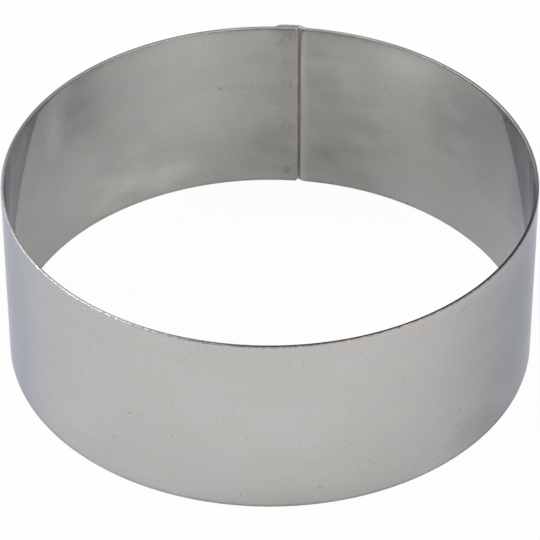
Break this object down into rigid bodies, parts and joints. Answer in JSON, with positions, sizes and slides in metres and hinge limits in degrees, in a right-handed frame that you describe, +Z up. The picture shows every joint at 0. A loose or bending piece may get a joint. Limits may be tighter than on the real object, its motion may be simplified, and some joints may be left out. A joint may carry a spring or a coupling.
{
  "type": "pastry ring",
  "caption": "Open round hoop of thin stainless sheet with a lapped, spot-welded seam, for shaping and cutting cakes, mousses and dough.",
  "frame": {"origin": "on the hoop's axis, in the plane of its lower rim", "axes": "+Z up along the hoop's axis to the other rim, +Y towards the cut of the strip's inner end at the seam, +X to the right of the seam as seen from inside"},
  "size_m": [0.12, 0.1209, 0.045],
  "materials": {
    "stainless_steel": "satin cold-rolled stainless sheet, with faint rolling lines, handling marks and bright cut rims",
    "weld_steel": "dull spot-weld dents, slightly darker than the sheet"
  },
  "bodies": {
    "root": {"band": "stainless_steel", "spot_weld_1": "weld_steel", "spot_weld_2": "weld_steel", "spot_weld_3": "weld_steel", "spot_weld_4": "weld_steel", "spot_weld_5": "weld_steel", "spot_weld_6": "weld_steel", "spot_weld_7": "weld_steel"}
  },
  "joints": []
}
